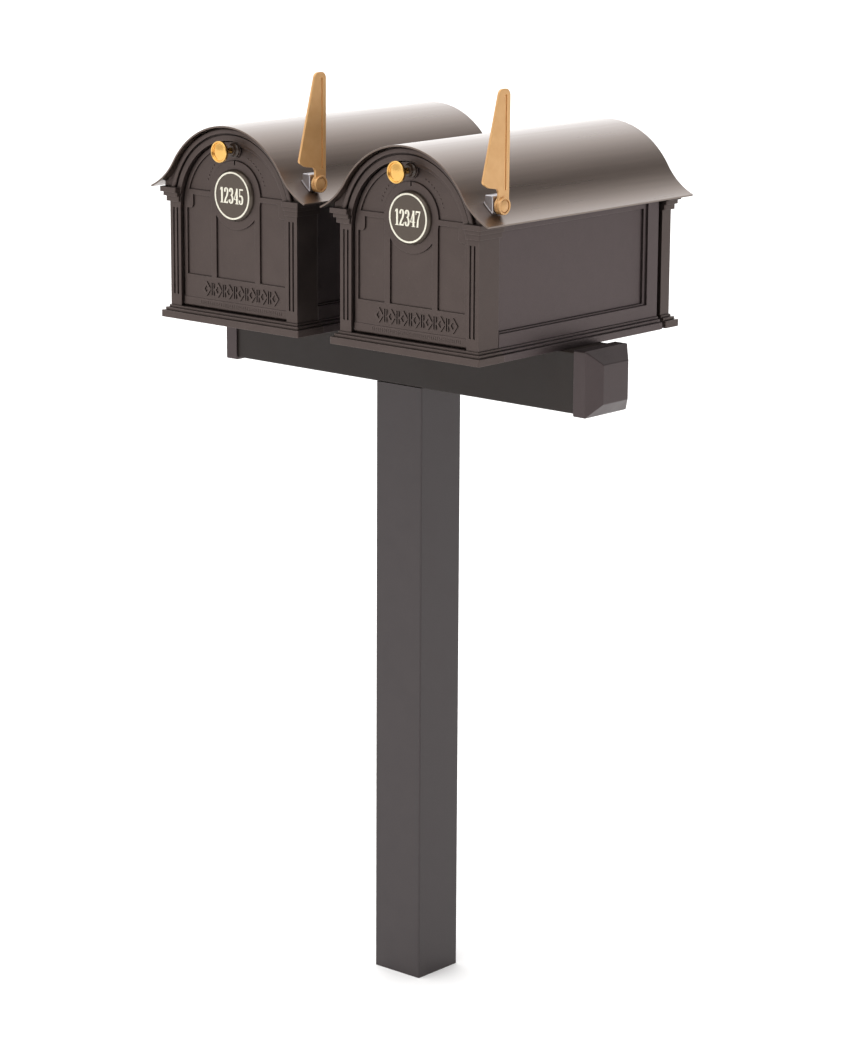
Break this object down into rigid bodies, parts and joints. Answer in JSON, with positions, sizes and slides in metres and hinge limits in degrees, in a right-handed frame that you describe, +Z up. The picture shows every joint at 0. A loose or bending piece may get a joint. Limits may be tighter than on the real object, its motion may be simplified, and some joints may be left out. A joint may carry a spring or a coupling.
{
  "type": "twin post-mounted mailbox",
  "caption": "Two arched cast mailboxes with drop-down doors and swing flags, side by side on a square cross-arm and post.",
  "frame": {"origin": "centre of the post's foot, on the ground", "axes": "+Z up the post, +X along the cross-arm, -Y towards the side with the doors"},
  "size_m": [0.839, 0.5456, 1.5761],
  "materials": {
    "bronze_paint": "mocha bronze powder coat on cast aluminium, fine satin grain",
    "post_paint": "mocha bronze powder coat on aluminium extrusion",
    "roof_paint": "mocha bronze powder coat on aluminium sheet, smooth satin gloss",
    "dark_paint": "dark bronze powder coat on steel",
    "plaque_paint": "grey-brown enamel with a raised cream rim and cream numerals",
    "brass": "polished, lacquered brass",
    "bracket_steel": "bright die-cast saddle, satin",
    "plated_steel": "zinc-plated steel",
    "black_plastic": "moulded black plastic"
  },
  "bodies": {
    "stand": {"post": "post_paint", "post_foot_plug": "black_plastic", "post_sleeve": "plated_steel", "sleeve_bolt_left": "plated_steel", "sleeve_bolt_right": "plated_steel", "post_screw_lower": "dark_paint", "post_screw_upper": "dark_paint", "crossarm_beam": "post_paint", "end_cap_right": "post_paint", "end_cap_left": "post_paint", "left_roof": "roof_paint", "left_front_frame": "bronze_paint", "left_rear_frame": "bronze_paint", "left_rear_panel": "bronze_paint", "left_side_panel_left": "bronze_paint", "left_side_panel_right": "bronze_paint", "left_floor_plate": "dark_paint", "left_mounting_plate": "plated_steel", "left_mount_bolt_front": "plated_steel", "left_mount_bolt_rear": "plated_steel", "left_door_hinge_rod": "plated_steel", "left_door_catch": "black_plastic", "left_flag_bracket": "bracket_steel", "left_flag_bracket_screw": "plated_steel", "left_flag_pivot_bolt": "brass", "left_flag_washer": "bracket_steel", "right_roof": "roof_paint", "right_front_frame": "bronze_paint", "right_rear_frame": "bronze_paint", "right_rear_panel": "bronze_paint", "right_side_panel_left": "bronze_paint", "right_side_panel_right": "bronze_paint", "right_floor_plate": "dark_paint", "right_mounting_plate": "plated_steel", "right_mount_bolt_front": "plated_steel", "right_mount_bolt_rear": "plated_steel", "right_door_hinge_rod": "plated_steel", "right_door_catch": "black_plastic", "right_flag_bracket": "bracket_steel", "right_flag_bracket_screw": "plated_steel", "right_flag_pivot_bolt": "brass", "right_flag_washer": "bracket_steel"},
    "left_door": {"left_door": "bronze_paint", "left_door_strike": "plated_steel", "left_knob": "brass", "left_knob_rose": "dark_paint", "left_knob_screw": "plated_steel", "left_number_plaque": "plaque_paint"},
    "left_flag": {"left_flag": "brass"},
    "right_door": {"right_door": "bronze_paint", "right_door_strike": "plated_steel", "right_knob": "brass", "right_knob_rose": "dark_paint", "right_knob_screw": "plated_steel", "right_number_plaque": "plaque_paint"},
    "right_flag": {"right_flag": "brass"}
  },
  "joints": [
    {"name": "left_door_hinge", "type": "hinge", "parent": "stand", "child": "left_door", "pos_m": [-0.1932, -0.2398, 1.1723], "axis": [1, 0, 0], "range_deg": [0, 90]},
    {"name": "left_flag_pivot", "type": "hinge", "parent": "stand", "child": "left_flag", "pos_m": [-0.0347, -0.211, 1.3951], "axis": [-1, 0, 0], "range_deg": [0, 90]},
    {"name": "right_door_hinge", "type": "hinge", "parent": "stand", "child": "right_door", "pos_m": [0.1932, -0.2398, 1.1723], "axis": [1, 0, 0], "range_deg": [0, 90]},
    {"name": "right_flag_pivot", "type": "hinge", "parent": "stand", "child": "right_flag", "pos_m": [0.3517, -0.211, 1.3951], "axis": [-1, 0, 0], "range_deg": [0, 90]}
  ]
}
